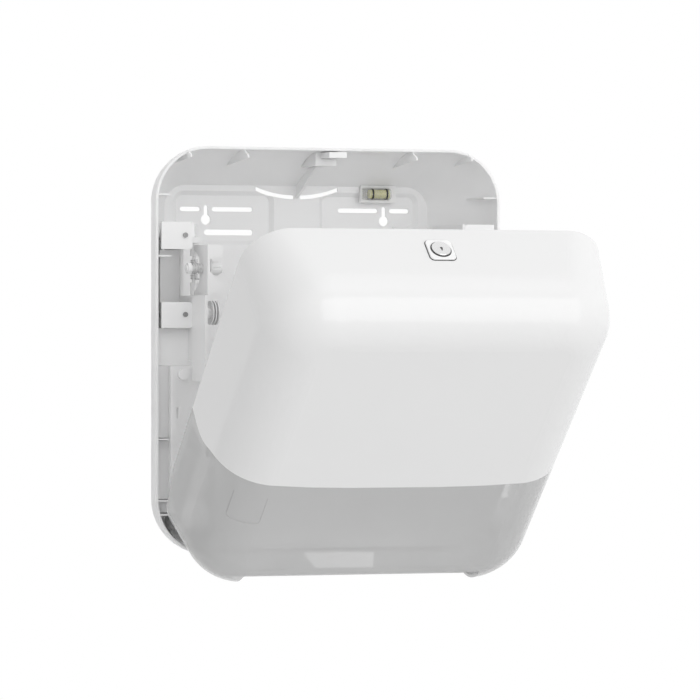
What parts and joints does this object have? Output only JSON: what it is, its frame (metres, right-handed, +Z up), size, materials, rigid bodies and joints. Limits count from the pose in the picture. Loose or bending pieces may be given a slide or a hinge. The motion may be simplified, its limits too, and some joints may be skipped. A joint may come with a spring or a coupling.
{
  "type": "lever paper towel dispenser",
  "caption": "Wall-mounted roll towel dispenser with a hinged cover tipped open, smoked window, lock, roll arms, cutter drum and pressure roller.",
  "frame": {"origin": "middle of the housing on the wall plane", "axes": "+Z up, +Y into the wall, front faces -Y, +X to the right seen from the front; the cover is tipped open"},
  "size_m": [0.337, 0.4065, 0.3939],
  "materials": {
    "white_plastic": "fine moulded satin",
    "housing_plastic": "pale translucent satin",
    "cover_plastic": "smooth gloss",
    "smoked_plastic": "smoked translucent gloss",
    "clear_plastic": "clear",
    "level_liquid": "tinted liquid",
    "black_plastic": "printed black",
    "lock_plate": "gloss",
    "lock_metal": "turned",
    "steel": "plain",
    "dark_steel": "phosphated",
    "roller_rubber": "ground"
  },
  "bodies": {
    "housing": {"rear_housing": "housing_plastic", "latch_block": "housing_plastic", "latch_tongue": "white_plastic", "level_frame": "white_plastic", "level_vial": "clear_plastic", "level_liquid": "level_liquid", "level_rings": "black_plastic", "frame_screws": "dark_steel", "exit_guide": "housing_plastic", "side_frame_left": "housing_plastic", "side_frame_right": "housing_plastic", "arm_pin_left": "steel", "arm_pin_right": "steel", "bearing_plate_left": "housing_plastic", "bearing_plate_right": "housing_plastic", "gear_cover_left": "housing_plastic", "gear_cover_right": "housing_plastic", "hinge_bracket_left": "housing_plastic", "hinge_bracket_right": "housing_plastic", "hinge_pin_left": "steel", "hinge_pin_right": "steel"},
    "cover": {"cover_upper_shell": "cover_plastic", "cover_lower_window": "smoked_plastic", "cover_arm_left": "housing_plastic", "cover_arm_right": "housing_plastic", "lock_bezel": "lock_plate", "front_guard": "housing_plastic"},
    "lock": {"lock_cylinder": "lock_metal", "lock_cam": "steel"},
    "left_arm": {"roll_arm_left": "white_plastic", "arm_spring_left": "steel", "hub_spring_left": "steel"},
    "right_arm": {"roll_arm_right": "white_plastic", "arm_spring_right": "steel", "hub_spring_right": "steel"},
    "left_hub": {"roll_hub_left": "white_plastic", "hub_axle_left": "steel"},
    "right_hub": {"roll_hub_right": "white_plastic", "hub_axle_right": "steel"},
    "roll_brake": {"brake_disc": "white_plastic", "brake_stem": "white_plastic"},
    "drum": {"drum_shell_front": "white_plastic", "drum_shell_rear": "white_plastic", "drum_caps": "white_plastic", "drum_axle": "steel", "blade_carrier": "white_plastic", "cutter_blade": "steel", "drum_gear": "white_plastic"},
    "roller": {"pressure_roller": "roller_rubber", "roller_shaft": "steel", "roller_gear": "white_plastic"}
  },
  "joints": [
    {"name": "cover_hinge", "type": "hinge", "parent": "housing", "child": "cover", "pos_m": [0, -0.1251, -0.1676], "axis": [1, 0, 0], "range_deg": [-44.3, 0]},
    {"name": "lock_turn", "type": "hinge", "parent": "cover", "child": "lock", "pos_m": [0, -0.37127, 0.08624], "axis": [0, -0.6984, 0.7157], "range_deg": [0, 90]},
    {"name": "left_arm_swing", "type": "hinge", "parent": "housing", "child": "left_arm", "pos_m": [-0.1258, -0.078, 0.0745], "axis": [0, 0, 1], "range_deg": [-12, 0], "stiffness_Nm_per_rad": 0.5, "springref_deg": 5.73},
    {"name": "left_hub_spin", "type": "hinge", "parent": "left_arm", "child": "left_hub", "pos_m": [-0.12, -0.104, 0.0745], "axis": [1, 0, 0], "continuous": true},
    {"name": "right_arm_swing", "type": "hinge", "parent": "housing", "child": "right_arm", "pos_m": [0.1258, -0.078, 0.0745], "axis": [0, 0, 1], "range_deg": [0, 12], "stiffness_Nm_per_rad": 0.5, "springref_deg": -5.73},
    {"name": "right_hub_spin", "type": "hinge", "parent": "right_arm", "child": "right_hub", "pos_m": [0.12, -0.104, 0.0745], "axis": [1, 0, 0], "continuous": true},
    {"name": "brake_slide", "type": "slide", "parent": "housing", "child": "roll_brake", "axis": [-1, 0, 0], "range_m": [0, 0.003], "stiffness_N_per_m": 400, "springref_m": -0.002},
    {"name": "drum_spin", "type": "hinge", "parent": "housing", "child": "drum", "pos_m": [0, -0.092, -0.092], "axis": [1, 0, 0], "continuous": true},
    {"name": "roller_spin", "type": "hinge", "parent": "housing", "child": "roller", "pos_m": [0, -0.0535, -0.1305], "axis": [1, 0, 0], "continuous": true}
  ],
  "couplings": [
    {"joint": "roller_spin", "follows": "drum_spin", "ratio": -4.4}
  ]
}
